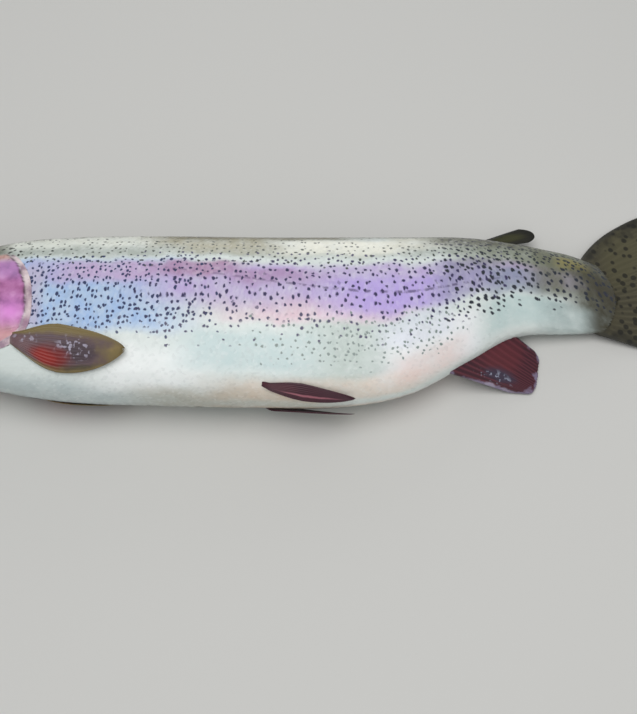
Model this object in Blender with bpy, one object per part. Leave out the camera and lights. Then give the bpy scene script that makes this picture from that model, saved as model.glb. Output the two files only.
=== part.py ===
"""A rainbow trout at life size, lying limp on its right side, as a still model.

The fish is 0.45 m from the snout to the root of the tail fin. X runs from the snout to the tail, Y from
the belly to the back, and Z up through the left flank. A place on the body is given as a distance behind
the snout and a turn round the body: 0 is the ridge of the back, 0.25 the middle of the left flank, 0.5
the keel of the belly and 0.75 the middle of the right flank, which faces the floor.
"""

import math

import bmesh
import bpy
import numpy as np
from mathutils import Vector

MM = 0.001
GAP = 0.3 * MM

# The body. Each row is a distance behind the snout, then how far the back and the belly stand across the
# fish, half the thickness from flank to flank, and the height of the backbone's line, in millimetres.
OUTLINE = (
    (0, -8.0, -27.0, 10.5, 21.0),
    (12, 0.5, -34.0, 13.5, 22.0),
    (30, 10.5, -43.0, 18.5, 23.3),
    (60, 23.5, -57.0, 24.5, 25.2),
    (90, 32.0, -66.5, 28.0, 26.2),
    (125, 36.0, -72.5, 29.5, 26.0),
    (180, 36.8, -75.5, 30.5, 26.2),
    (240, 36.5, -76.5, 30.0, 25.8),
    (290, 38.0, -75.5, 28.5, 24.4),
    (330, 41.5, -65.0, 24.5, 21.2),
    (365, 46.0, -42.0, 19.0, 16.5),
    (395, 45.5, -22.0, 14.5, 12.5),
    (425, 41.5, -18.0, 11.0, 9.3),
    (450, 37.0, -17.0, 8.0, 6.7),
)
SNOUT = 0.4 * MM
NAPE = 86 * MM
STALK_START = 395 * MM
STANDARD_LENGTH = 450 * MM
SNOUT_ROUNDING = 13 * MM
FULLNESS = 2.25
FLOOR_SIDE_FLATTENING = 0.9
SHOULDER_TAPER = 0.05
ROUND_BODY = 32

# The head.
MOUTH_TIP = -19.5 * MM
MOUTH_SLOPE = math.radians(-17)
JAW_LENGTH = 50 * MM
JAW_HEEL = 22 * MM
MAXILLA = (10 * MM, 47 * MM)
MAXILLA_DEPTH = 6.5 * MM
EYE_PLACE = 31 * MM
EYE_TURN = 0.205
EYE_RADIUS = 9.4 * MM
EYE_DEPTH = 5.0 * MM
EYE_SUNK = 2.9 * MM
GILL_COVER_TURNS = (0.16, 0.40)
GILL_COVER_END = 104 * MM
PLATE_THICKNESS = 3.0 * MM
PLATE_PROUD = 0.8 * MM
PLATE_ROOM = 0.4 * MM

# The fins: where each root starts and ends behind the snout, and the lengths of its first and last rays.
FIN_EDGE = 1.0 * MM
DORSAL = (222 * MM, 282 * MM, 46 * MM, 22 * MM)
DORSAL_SWEEP = math.radians(16)
DORSAL_LEAN = math.radians(45)
ADIPOSE = (374 * MM, 388 * MM, 34 * MM, 21 * MM)
ADIPOSE_SWEEP = math.radians(26)
ADIPOSE_LEAN = math.radians(15)
ANAL = (350 * MM, 393 * MM)
ANAL_FIRST_RAY = Vector((48, -6, 0)) * MM
ANAL_LAST_RAY = Vector((15, -6, 0)) * MM
CAUDAL_ROOT = 447 * MM
CAUDAL_SHORTEST = 44 * MM
CAUDAL_LONGEST = 76 * MM
CAUDAL_UPPER = math.radians(62)
CAUDAL_LOWER = math.radians(-16)
CAUDAL_CURL = math.radians(23)
PECTORAL = (97 * MM, 165 * MM)
PELVIC = (239 * MM, 296 * MM)
FIN_REST_HEIGHT = 1.4 * MM


def smooth_curve(places, values):
    """A curve through the stations: a cubic whose slope at each one is the mean of its two sides."""
    steps = np.diff(values) / np.diff(places)
    slopes = np.concatenate([steps[:1], (steps[1:] + steps[:-1]) / 2, steps[-1:]])

    def curve(place):
        k = int(np.clip(np.searchsorted(places, place) - 1, 0, len(steps) - 1))
        span = places[k + 1] - places[k]
        t = (place - places[k]) / span
        leave = span * slopes[k] * t * (1 - t) ** 2
        arrive = span * slopes[k + 1] * t * t * (t - 1)
        return float(blend(values[k], values[k + 1], t * t * (3 - 2 * t)) + leave + arrive)

    return curve


def blend(first, last, share):
    return first + (last - first) * share


def powered(value, power):
    return math.copysign(abs(value) ** power, value)


STATIONS, BACK, BELLY, THICKNESS, BACKBONE = (np.array(column) * MM for column in zip(*OUTLINE))
back_line = smooth_curve(STATIONS, BACK)
belly_line = smooth_curve(STATIONS, BELLY)
half_thickness = smooth_curve(STATIONS, THICKNESS)
backbone_height = smooth_curve(STATIONS, BACKBONE)


def half_depth(place):
    nose = math.sqrt(1 - (1 - min(place / SNOUT_ROUNDING, 1.0)) ** 2)
    return (back_line(place) - belly_line(place)) / 2 * nose


def middle(place):
    return (back_line(place) + belly_line(place)) / 2


def on_body(place, turn, out=0.0):
    """A point of the body's surface, or one that stands out from it. The floor presses its side flat."""
    up, side = math.cos(2 * math.pi * turn), math.sin(2 * math.pi * turn)
    deep = half_depth(place)
    wide = half_thickness(place) * deep / ((back_line(place) - belly_line(place)) / 2)
    wide *= 1 if side > 0 else FLOOR_SIDE_FLATTENING
    y = middle(place) + (deep + out) * powered(up, 2 / FULLNESS)
    z = backbone_height(place) + (wide + out) * powered(side, 2 / FULLNESS) * (1 + SHOULDER_TAPER * up)
    return Vector((place, y, z if out else max(z, 0.0)))


def turn_at(place, across):
    """The turn on the left flank at which the body's surface stands that far across the fish."""
    up = max(-1.0, min(1.0, (across - middle(place)) / half_depth(place)))
    return math.acos(powered(up, FULLNESS / 2)) / (2 * math.pi)


def outward(place, turn):
    """The direction straight out of the body at a point of its surface."""
    along = on_body(place + MM, turn) - on_body(place - MM, turn)
    around = on_body(place, turn - 0.01) - on_body(place, turn + 0.01)
    return along.cross(around).normalized()


def material(name, colour, roughness, metallic=0.0):
    made = bpy.data.materials.new(name)
    made.use_nodes = True
    shader = made.node_tree.nodes["Principled BSDF"]
    red, green, blue = (int(colour[k : k + 2], 16) / 255 for k in (1, 3, 5))
    shader.inputs["Base Color"].default_value = (red**2.2, green**2.2, blue**2.2, 1)
    shader.inputs["Roughness"].default_value = roughness
    shader.inputs["Metallic"].default_value = metallic
    return made


def node(name, form, look, anchor, facing=Vector((0, 0, 1))):
    """The finished object, with its origin where it joins its neighbour and its mesh laid out from there."""
    bmesh.ops.recalc_face_normals(form, faces=form.faces)
    if form.calc_volume(signed=True) < 0:
        bmesh.ops.reverse_faces(form, faces=form.faces)
    mesh = bpy.data.meshes.new(name)
    form.to_mesh(mesh)
    form.free()
    mesh.shade_smooth()
    mesh.set_sharp_from_angle(angle=math.radians(40))
    made = bpy.data.objects.new(name, mesh)
    made.location = anchor
    made.rotation_euler = Vector((0, 0, 1)).rotation_difference(facing).to_euler()
    made.parent = fish
    bpy.context.scene.collection.objects.link(made)
    if look:
        mesh.materials.append(look)
    return made


def placed(form, anchor):
    """The same form, measured from its own anchor and no longer from the snout."""
    bmesh.ops.translate(form, vec=-Vector(anchor), verts=form.verts)
    return form


def cutter(name, form, anchor=(0, 0, 0), facing=Vector((0, 0, 1))):
    made = node(name, form, None, anchor, facing)
    made.hide_render = True
    made.display_type = "WIRE"
    return made


def cut(target, tool, operation="DIFFERENCE"):
    modifier = target.modifiers.new(f"{operation.lower()}_{tool.name}", "BOOLEAN")
    modifier.object = tool
    modifier.operation = operation
    modifier.solver = "EXACT"


def verts_of(made):
    return [part for part in made["geom"] if isinstance(part, bmesh.types.BMVert)]


def body_length(places, out=0.0):
    """A closed length of the body: a disc pulled out ring by ring, then each ring shaped to the body."""
    form = bmesh.new()
    bmesh.ops.create_circle(form, cap_ends=True, radius=1, segments=ROUND_BODY)
    front = form.faces[:]
    for ring in range(len(places) - 1):
        pulled = bmesh.ops.extrude_face_region(form, geom=front, use_keep_orig=True)
        if ring:
            bmesh.ops.delete(form, geom=front, context="FACES_ONLY")
        front = [part for part in pulled["geom"] if isinstance(part, bmesh.types.BMFace)]
        bmesh.ops.translate(form, vec=(0, 0, 1), verts=verts_of(pulled))
    for corner in form.verts:
        turn = math.atan2(corner.co.y, corner.co.x) / (2 * math.pi)
        corner.co = on_body(places[round(corner.co.z)], turn, out)
    return form


def rings(start, end, count, crowding=1.0):
    """The places of the rings of one length of the body, closer together at its start if crowded."""
    return [blend(start, end, (ring / count) ** crowding) for ring in range(count + 1)]


def slab(across, along, shape):
    """A closed slab, shaped by a rule from its place across it, along it and through it, each 0 to 1."""
    form = bmesh.new()
    bmesh.ops.create_grid(form, x_segments=across, y_segments=along, size=0.5)
    pulled = bmesh.ops.extrude_face_region(form, geom=form.faces[:], use_keep_orig=True)
    bmesh.ops.translate(form, vec=(0, 0, 1), verts=verts_of(pulled))
    for corner in form.verts:
        x, y, through = corner.co
        corner.co = shape(x + 0.5, y + 0.5, through)
    return form


def jaw_wedge(name, clear):
    """The block of space below the mouth line and ahead of the jaw's hinge, made smaller all round."""
    slope = math.tan(MOUTH_SLOPE)
    tip, hinge = -20 * MM, JAW_LENGTH - clear
    low, side = -90 * MM, 60 * MM
    corners = (
        (tip, MOUTH_TIP + slope * tip - clear),
        (hinge, MOUTH_TIP + slope * hinge - clear),
        (hinge + JAW_HEEL, low),
        (tip, low),
    )
    form = bmesh.new()
    face = form.faces.new([form.verts.new((x, y, -side)) for x, y in corners])
    pulled = bmesh.ops.extrude_face_region(form, geom=[face], use_keep_orig=True)
    bmesh.ops.translate(form, vec=(0, 0, 2 * side), verts=verts_of(pulled))
    return cutter(name, form)


def plate(where, across, along, room=0.0):
    """A thin plate of bone let into the side of the head, or, with room, the hollow that takes it."""
    def shape(u, v, through):
        out = PLATE_PROUD + room if through > 0.5 else PLATE_PROUD - PLATE_THICKNESS - room
        point = on_body(*where(u, v, room), out)
        point.z = point.z if room else max(point.z, 0.0)
        return point

    return slab(across, along, shape)


def gill_cover_place(u, v, room):
    """From the bend of the cheek, u 0, to the free rear edge, u 1, and from the top, v 0, to the throat."""
    v = blend(-0.01, 1.01, v) if room else v
    widest = 0.44
    fall = (widest - v) / widest * 8**0.5 if v < widest else (v - widest) / (1 - widest) * 43**0.5
    rear = GILL_COVER_END - fall * fall * MM
    front = (71 - 4 * v - 17 * abs(v) ** 3) * MM
    return blend(front - 2 * room, rear + 2 * room, u), blend(*GILL_COVER_TURNS, v)


def maxilla_place(u, v, room):
    """Along the upper lip, u 0 to 1, and from its lower edge, v 0, to its upper edge, v 1."""
    u, v = (blend(-0.01, 1.01, u), blend(-0.1, 1.1, v)) if room else (u, v)
    place = blend(*MAXILLA, u)
    deep = MAXILLA_DEPTH * (0.45 + 0.55 * math.sin(math.pi * min(1, max(0, 0.18 + 0.68 * u))))
    lip = MOUTH_TIP + place * math.tan(MOUTH_SLOPE)
    return place, turn_at(place, lip + deep * (v - 0.3))


def mirrored(where, side):
    def other(u, v, room):
        place, turn = where(u, v, room)
        return place, turn if side == "left" else 1 - turn

    return other


def body():
    """The head, trunk and tail stalk, which meet at flat cuts straight across the fish."""
    head = node("head", body_length(head_rings), flesh_dark, (0, 0, 0))
    trunk = node("trunk", body_length(trunk_rings), flesh, (0, 0, 0))
    node("tail_stalk", body_length(stalk_rings), flesh, (0, 0, 0))
    return head, trunk


def lower_jaw(head):
    """The front of the body below the mouth line, cut free of the head along the mouth."""
    jaw = node("lower_jaw", body_length(head_rings), flesh_pale, (0, 0, 0))
    cut(jaw, jaw_wedge("jaw_room_inner", GAP), "INTERSECT")
    cut(head, jaw_wedge("jaw_room", 0.0))
    return jaw


def plates(head, jaw, trunk):
    """The gill covers, which lie over the head and the shoulder, and the maxillas of the upper lip."""
    for side in ("left", "right"):
        for name, where, across, along, look, carriers in (
            ("gill_cover", gill_cover_place, 6, 14, gill_pink, (head, jaw, trunk)),
            ("maxilla", maxilla_place, 12, 3, flesh_pale, (head, jaw)),
        ):
            place = mirrored(where, side)
            anchor = on_body(*place(0, 0.5, 0))
            node(f"{name}_{side}", placed(plate(place, across, along), anchor), look, anchor)
            hollow = placed(plate(place, across, along, PLATE_ROOM), anchor)
            hollow = cutter(f"{name}_{side}_room", hollow, anchor)
            for carrier in carriers:
                cut(carrier, hollow)


def eyeball(radius, depth):
    form = bmesh.new()
    bmesh.ops.create_uvsphere(form, u_segments=18, v_segments=10, radius=1)
    bmesh.ops.scale(form, vec=(radius, radius, depth), verts=form.verts)
    return form


def eyes(head):
    """Flattened balls set into the head, each facing straight out of its side."""
    for side, turn in (("left", EYE_TURN), ("right", 1 - EYE_TURN)):
        out = outward(EYE_PLACE, turn)
        centre = on_body(EYE_PLACE, turn) - out * EYE_SUNK
        node(f"eye_{side}", eyeball(EYE_RADIUS, EYE_DEPTH), eye_gold, centre, out)
        cut(head, cutter(f"eye_{side}_room", eyeball(EYE_RADIUS + GAP, EYE_DEPTH + GAP), centre, out))


def ray_thickness(share, root):
    """A fin is fleshy at its root and thins to a membrane."""
    return FIN_EDGE + (root - FIN_EDGE) * math.exp(-share / 0.14)


def rounded_fan(u, first, last, corner=0.16):
    """The length of the ray at u, with the two outer corners of the fin rounded off."""
    edge = max(0.0, 1 - min(u, 1 - u) / corner)
    return blend(first, last, u) * (1 - 0.22 * edge**2.2)


def back_fin(name, root, sweep, lean, look, root_thickness):
    """A fin on the ridge of the back, folded down towards the tail and leaning to the floor."""
    start, end, first, last = root

    def shape(u, v, through):
        ray = rounded_fan(u, first, last)
        place = blend(start, end, u) + v * ray * math.cos(sweep)
        high = v * ray * math.sin(sweep) * blend(1, 0.55, u) - 2 * MM * (1 - v)
        thick = ray_thickness(v, root_thickness) * (through - 0.5)
        y = back_line(place) + high * math.cos(lean) + thick * math.sin(lean)
        z = backbone_height(place) - high * math.sin(lean) + thick * math.cos(lean)
        return Vector((place, y, z))

    anchor = Vector((start, back_line(start), backbone_height(start)))
    cut(node(name, placed(slab(8, 5, shape), anchor), look, anchor), body_room)


def anal_fin():
    """The fin behind the vent, half spread, whose rays droop until they lie on the floor."""
    def shape(u, v, through):
        place = blend(*ANAL, u)
        ray = ANAL_FIRST_RAY.lerp(ANAL_LAST_RAY, u) + Vector((0, -9 * MM * math.sin(math.pi * u), 0))
        ray *= rounded_fan(u, 1, 1)
        root = Vector((place, belly_line(place) + 2 * MM, backbone_height(place)))
        tip = root + ray
        tip.z = FIN_REST_HEIGHT
        point = root.lerp(tip, v)
        point.z += ray_thickness(v, 3 * MM) * (through - 0.5)
        return point

    anchor = Vector((ANAL[0], belly_line(ANAL[0]), backbone_height(ANAL[0])))
    cut(node("anal_fin", placed(slab(9, 6, shape), anchor), fin_maroon, anchor), body_room)


def caudal_fin():
    """The tail fin: a fan with a fork, spread towards the back, which sinks to the floor at its edge."""
    def shape(u, v, through):
        edge = abs(2 * u - 1)
        ray = blend(CAUDAL_SHORTEST, CAUDAL_LONGEST, edge**1.6) * (1 - 0.08 * edge**14)
        angle = blend(CAUDAL_UPPER, CAUDAL_LOWER, u)
        angle -= CAUDAL_CURL * v * max(0.0, 1 - 2 * u)
        start = CAUDAL_ROOT - 7 * MM * edge**5
        x = start + v * ray * math.cos(angle)
        y = blend(back_line(start) - 2 * MM, belly_line(start) + 2 * MM, u) + v * ray * math.sin(angle)
        z = blend(backbone_height(start), FIN_REST_HEIGHT, min(1, 1.6 * v) ** 0.8)
        thick = ray_thickness(v, blend(9, 3, edge**4) * MM)
        return Vector((x, y, max(z, thick / 2 + 0.5 * MM) + thick * (through - 0.5)))

    anchor = Vector((CAUDAL_ROOT, middle(CAUDAL_ROOT), backbone_height(CAUDAL_ROOT)))
    cut(node("caudal_fin", placed(slab(18, 8, shape), anchor), fin_olive, anchor), body_room)


def leaf_breadth(v, root, widest):
    """Half the breadth of a leaf that is widest before its middle and rounded at its tip."""
    share = v / 0.45
    if share < 1:
        return blend(root, widest, share * share * (3 - 2 * share))
    return widest * math.sqrt(max(0.0, 1 - ((v - 0.45) / 0.55) ** 2)) + 0.002 * (1 - v)


def paired_fin(name, side, root, turns, breadths, bow, stand, look):
    """A fin laid back along the body: a leaf between two turns, standing a little off the flank."""
    def shape(u, v, through):
        place = blend(*root, v)
        turn = blend(*turns, v) + bow * math.sin(math.pi * v)
        turn += leaf_breadth(v, *breadths) * (2 * u - 1)
        lift = blend(-2.5 * MM, stand[0], min(1, v / 0.12)) + (stand[1] - stand[0]) * v * v
        out = lift + ray_thickness(v, 2.2 * MM) * through
        return on_body(place, turn if side == "left" else 1 - turn, out)

    turn = turns[0] if side == "left" else 1 - turns[0]
    anchor = on_body(root[0], turn)
    cut(node(f"{name}_{side}", placed(slab(8, 9, shape), anchor), look, anchor), body_room)


def stand_on_origin():
    """Lowers the fish onto the floor and centres its outline, fins included, over the origin."""
    bpy.context.view_layer.update()
    graph = bpy.context.evaluated_depsgraph_get()
    reach = []
    for made in fish.children:
        if not made.hide_render:
            solid = made.evaluated_get(graph)
            reach += [solid.matrix_world @ Vector(corner) for corner in solid.bound_box]
    low = [min(corner[axis] for corner in reach) for axis in range(3)]
    high = [max(corner[axis] for corner in reach) for axis in range(3)]
    fish.location = (-(low[0] + high[0]) / 2, -(low[1] + high[1]) / 2, -low[2])


for old in list(bpy.data.objects):
    bpy.data.objects.remove(old, do_unlink=True)

fish = bpy.data.objects.new("fish", None)
bpy.context.scene.collection.objects.link(fish)

flesh = material("silvery_flank_skin", "#b4bdba", 0.35)
flesh_dark = material("olive_head_skin", "#8c9184", 0.35)
flesh_pale = material("pale_jaw_skin", "#c9cec6", 0.35)
gill_pink = material("pink_gill_cover", "#cf8cb8", 0.3)
eye_gold = material("eye", "#8d8560", 0.1)
fin_olive = material("olive_fin", "#4b4735", 0.45)
fin_brown = material("red_brown_fin", "#6f4a42", 0.45)
fin_maroon = material("maroon_fin", "#55323c", 0.45)

head_rings = rings(SNOUT, NAPE - GAP / 2, 15, 1.5)
trunk_rings = rings(NAPE + GAP / 2, STALK_START - GAP / 2, 25)
stalk_rings = rings(STALK_START + GAP / 2, STANDARD_LENGTH, 6)
body_room = cutter("body_room", body_length(head_rings + trunk_rings + stalk_rings, GAP))
head_node, trunk_node = body()
jaw_node = lower_jaw(head_node)
plates(head_node, jaw_node, trunk_node)
eyes(head_node)
back_fin("dorsal_fin", DORSAL, DORSAL_SWEEP, DORSAL_LEAN, fin_olive, 3 * MM)
back_fin("adipose_fin", ADIPOSE, ADIPOSE_SWEEP, ADIPOSE_LEAN, fin_olive, 4 * MM)
anal_fin()
caudal_fin()
for flank in ("left", "right"):
    close = flank == "right"
    paired_fin(
        "pectoral_fin", flank, PECTORAL, (0.345 + 0.025 * close, 0.352 + 0.03 * close), (0.019, 0.045),
        0.018, (1.0 * MM, (1.6 if close else 4.5) * MM), fin_brown,
    )
    paired_fin(
        "pelvic_fin", flank, PELVIC, (0.424, 0.462 - 0.01 * close), (0.012, 0.026),
        0.004, (1.0 * MM, (4.5 if close else 3.5) * MM), fin_maroon,
    )
stand_on_origin()
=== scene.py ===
import math
from functools import partial

import bmesh
import bpy
import numpy as np
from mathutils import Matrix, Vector


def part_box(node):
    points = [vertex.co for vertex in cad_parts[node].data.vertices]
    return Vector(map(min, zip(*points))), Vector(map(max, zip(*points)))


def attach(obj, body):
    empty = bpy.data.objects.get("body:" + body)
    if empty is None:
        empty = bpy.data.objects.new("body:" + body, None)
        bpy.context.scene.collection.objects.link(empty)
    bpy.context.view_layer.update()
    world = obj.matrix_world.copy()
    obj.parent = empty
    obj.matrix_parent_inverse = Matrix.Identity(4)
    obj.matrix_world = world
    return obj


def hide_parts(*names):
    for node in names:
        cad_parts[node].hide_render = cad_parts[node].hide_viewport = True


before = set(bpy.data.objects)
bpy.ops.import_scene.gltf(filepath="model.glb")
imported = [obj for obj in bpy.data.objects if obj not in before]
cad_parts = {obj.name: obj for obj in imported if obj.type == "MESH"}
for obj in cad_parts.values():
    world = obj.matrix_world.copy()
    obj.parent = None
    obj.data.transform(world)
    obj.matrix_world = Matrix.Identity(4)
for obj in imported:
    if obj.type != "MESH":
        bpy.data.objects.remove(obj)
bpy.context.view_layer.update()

# ---- Skin -----------------------------------------------------------------------------------------------
# The skin of a trout is one wet elastic sheet over flesh and skull bones, bare on the head and covered by
# scales behind it. It is one closed mesh, pulled over the same body form as the solids. Its rings follow
# the rear edge of the gill cover and its columns follow the slit of the mouth, so that both come out sharp.

MM = 0.001

# Distance behind the snout, then how far the back and the belly stand across the fish, half the thickness
# from flank to flank, and the height of the backbone's line, in millimetres.
OUTLINE = (
    (0, -8.0, -27.0, 10.5, 21.0),
    (12, 0.5, -34.0, 13.5, 22.0),
    (30, 10.5, -43.0, 18.5, 23.3),
    (60, 23.5, -57.0, 24.5, 25.2),
    (90, 32.0, -66.5, 28.0, 26.2),
    (125, 36.0, -72.5, 29.5, 26.0),
    (180, 36.8, -75.5, 30.5, 26.2),
    (240, 36.5, -76.5, 30.0, 25.8),
    (290, 38.0, -75.5, 28.5, 24.4),
    (330, 41.5, -65.0, 24.5, 21.2),
    (365, 46.0, -42.0, 19.0, 16.5),
    (395, 45.5, -22.0, 14.5, 12.5),
    (425, 41.5, -18.0, 11.0, 9.3),
    (450, 37.0, -17.0, 8.0, 6.7),
    (462, 35.0, -17.0, 6.5, 5.6),
)
NAPE = 86 * MM
NODE_GAP = 0.3 * MM
SNOUT = 0.4 * MM
SNOUT_ROUNDING = 13 * MM
FULLNESS = 2.25
FLOOR_SIDE_FLATTENING = 0.9
SHOULDER_TAPER = 0.05
SKIN_CLEAR_OF_FLOOR = 0.3 * MM


def blend(first, last, share):
    return first + (last - first) * share


def powered(value, power):
    return np.copysign(np.abs(value) ** power, value)


def rise(value, start, end):
    """0 before the start, 1 after the end and smooth between them."""
    share = np.clip((value - start) / (end - start), 0, 1)
    return share * share * (3 - 2 * share)


def between(value, start, full, fade, end):
    """1 from full to fade and 0 outside start and end, smooth on both sides."""
    return rise(value, start, full) * (1 - rise(value, fade, end))


def bell(value, centre, width):
    return np.exp(-(((value - centre) / width) ** 2))


def smooth_curve(places, values):
    """A curve through the stations: a cubic whose slope at each one is the mean of its two sides."""
    steps = np.diff(values) / np.diff(places)
    slopes = np.concatenate([steps[:1], (steps[1:] + steps[:-1]) / 2, steps[-1:]])

    def curve(place):
        k = np.clip(np.searchsorted(places, place) - 1, 0, len(steps) - 1)
        span = places[k + 1] - places[k]
        t = (place - places[k]) / span
        leave = span * slopes[k] * t * (1 - t) ** 2
        arrive = span * slopes[k + 1] * t * t * (t - 1)
        return blend(values[k], values[k + 1], t * t * (3 - 2 * t)) + leave + arrive

    return curve


STATIONS, BACK, BELLY, THICKNESS, BACKBONE = (np.array(column) * MM for column in zip(*OUTLINE))
back_line = smooth_curve(STATIONS, BACK)
belly_line = smooth_curve(STATIONS, BELLY)
half_thickness = smooth_curve(STATIONS, THICKNESS)
backbone_height = smooth_curve(STATIONS, BACKBONE)


def middle(place):
    return (back_line(place) + belly_line(place)) / 2


def half_depth(place):
    nose = np.sqrt(1 - (1 - np.clip(place / SNOUT_ROUNDING, 0, 1)) ** 2)
    return (back_line(place) - belly_line(place)) / 2 * nose


def on_body(place, turn, out=0.0, clear=0.0):
    """Points of the body's surface, by distance behind the snout and turn round the fish from the back."""
    up, side = np.cos(2 * np.pi * turn), np.sin(2 * np.pi * turn)
    deep = half_depth(place)
    wide = half_thickness(place) * deep / ((back_line(place) - belly_line(place)) / 2)
    wide = wide * np.where(side > 0, 1, FLOOR_SIDE_FLATTENING)
    y = middle(place) + (deep + out) * powered(up, 2 / FULLNESS)
    z = backbone_height(place) + (wide + out) * powered(side, 2 / FULLNESS) * (1 + SHOULDER_TAPER * up)
    return np.stack([place + 0 * y, y, np.maximum(z, clear)], axis=-1)


def turn_at(place, across):
    """The turn on the left flank at which the surface stands that far across the fish."""
    up = np.clip((across - middle(place)) / half_depth(place), -1, 1)
    return np.arccos(powered(up, FULLNESS / 2)) / (2 * np.pi)


def girth(place):
    return 2 * np.pi * np.sqrt((half_depth(place) ** 2 + half_thickness(place) ** 2) / 2)


# The solids were centred over the origin after they were made, so the fish lies this far from its snout.
trunk_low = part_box("trunk")[0]
head_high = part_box("head")[1]
nape_height = float(back_line(NAPE - NODE_GAP / 2))
fish_shift = np.array([trunk_low[0] - NAPE - NODE_GAP / 2, head_high[1] - nape_height, trunk_low[2]])

GILL_COVER_TURNS = (0.16, 0.40)
GILL_COVER_END = 109.5 * MM
GILL_COVER_WIDEST = 0.50
GILL_COVER_DRAWN_IN = (17 * MM, 38 * MM)
GILL_MEMBRANE = 3.9
THROAT_SLIT_REACH = 22 * MM
CHEEK_END = 71
NAPE_SCALES = (88 * MM, 94.1 * MM)
BREAST_SCALES = 68 * MM
SCALES_BEHIND_GILLS = 1.6 * MM
MOUTH_TIP = -19.5 * MM
MOUTH_SLOPE = math.tan(math.radians(-17))
MOUTH_END = 48 * MM
BEHIND_MOUTH = 14 * MM
MAXILLA = (10 * MM, 47 * MM)
MAXILLA_DEPTH = 6.5 * MM
EYE_PLACE = 31 * MM
EYE_TURN = 0.205
NOSTRILS = ((15.2 * MM, 0.150, 0.8 * MM), (18.2 * MM, 0.155, 1.1 * MM))
PORE_RADIUS = 0.85
HEAD_GIRTH = 235


def folded(turn):
    """The turn from the back to the keel, 0 to 0.5, the same on both flanks."""
    turn = np.mod(turn, 1)
    return np.minimum(turn, 1 - turn)


def gill_cover_share(turn):
    return (folded(turn) - GILL_COVER_TURNS[0]) / (GILL_COVER_TURNS[1] - GILL_COVER_TURNS[0])


def gill_edge(turn):
    """Where the gill cover and, below it, the throat's membrane end, as a distance behind the snout."""
    v = gill_cover_share(turn)
    above = np.clip((GILL_COVER_WIDEST - v) / GILL_COVER_WIDEST, 0, 1) ** 2 * GILL_COVER_DRAWN_IN[0]
    below = np.clip(v - GILL_COVER_WIDEST, 0, 1 - GILL_COVER_WIDEST) / (1 - GILL_COVER_WIDEST)
    throat = THROAT_SLIT_REACH * (1 - np.exp(-7 * np.clip(v - 1, 0, 1)))
    return GILL_COVER_END - above - below**2.6 * GILL_COVER_DRAWN_IN[1] - throat


def cheek_edge(turn):
    """The curved rear edge of the cheek, where the gill cover's plates are hinged."""
    v = gill_cover_share(turn)
    return (CHEEK_END - 4 * v - 17 * np.abs(np.clip(v, -0.5, 1.4)) ** 3) * MM


def scales_start(turn):
    """The first row follows the rear edge of the gill cover, and crosses the nape and the breast."""
    t = folded(turn)
    nape = blend(*NAPE_SCALES, rise(t, 0.0, GILL_COVER_TURNS[0]))
    behind_gills = np.maximum(gill_edge(turn) + SCALES_BEHIND_GILLS, BREAST_SCALES)
    return np.where(t < GILL_COVER_TURNS[0], nape, behind_gills)


def lip_line(place):
    return MOUTH_TIP + MOUTH_SLOPE * place


def maxilla_depth(place):
    """The depth of the long bone of the upper lip, which is rounded off at its rear end."""
    u = (place - MAXILLA[0]) / (MAXILLA[1] - MAXILLA[0])
    swell = 0.45 + 0.55 * np.sin(np.pi * np.clip(0.18 + 0.68 * u, 0, 1))
    rounding = np.sqrt(np.clip(1 - (np.clip(u - 0.84, 0, 0.16) / 0.16) ** 2, 0, 1))
    return MAXILLA_DEPTH * swell * rounding * rise(u, -0.18, 0.05)


def mouth_slit(place):
    return lip_line(place) - 0.3 * maxilla_depth(place)


HEAD_RINGS = 190
TRUNK_RINGS = 104
EDGE_RINGS = np.array([-1.6, -0.9, -0.45, -0.18, -0.04, 0.05, 0.2, 0.55, 1.0, 1.6, 2.4, 3.4]) * MM
FEATURE_TURNS = (0.10, 0.365)
MOUTH_COLUMN = 0.32
SKIN_END = 462 * MM
SKIN_END_NOTCH = 10 * MM
SKIN_END_ROUNDING = 24 * MM
SKIN_END_THINNING = (0.93, 0.06)
SNOUT_TIP = 1.3 * MM

# The skin sinks by the depth of its coat of scales. It does so from a little ahead of the first scales to
# just behind them at the gill cover, and further behind them on the nape and the breast.
COAT_DEPTH = 0.36 * MM
COAT_AHEAD = 1.5 * MM
COAT_AT_GILL_COVER = 1 * MM
COAT_AT_NAPE_AND_BREAST = 12 * MM

ahead = np.linspace(0, 1, HEAD_RINGS)[:-1]
behind = np.linspace(0, 1, TRUNK_RINGS)[1:]
ring_count = len(ahead) + len(EDGE_RINGS) + len(behind)

slit_columns = MOUTH_COLUMN + np.array([-0.0075, -0.0045, -0.0024, -0.001, 0, 0.001, 0.0024, 0.0045, 0.0075])
half_round = np.concatenate(
    [
        np.linspace(0, FEATURE_TURNS[0], 18, endpoint=False),
        np.linspace(FEATURE_TURNS[0], slit_columns[0], 78, endpoint=False),
        slit_columns,
        np.linspace(slit_columns[-1], FEATURE_TURNS[1], 16)[1:],
        np.linspace(FEATURE_TURNS[1], 0.5, 30)[1:],
    ]
)
column_turns = np.concatenate([-half_round[:0:-1], half_round])


def flesh_end(turn):
    """The flesh reaches further on to the tail fin at the middle of each side than at its two edges."""
    return SKIN_END - SKIN_END_NOTCH * np.cos(2 * np.pi * turn) ** 2


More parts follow.
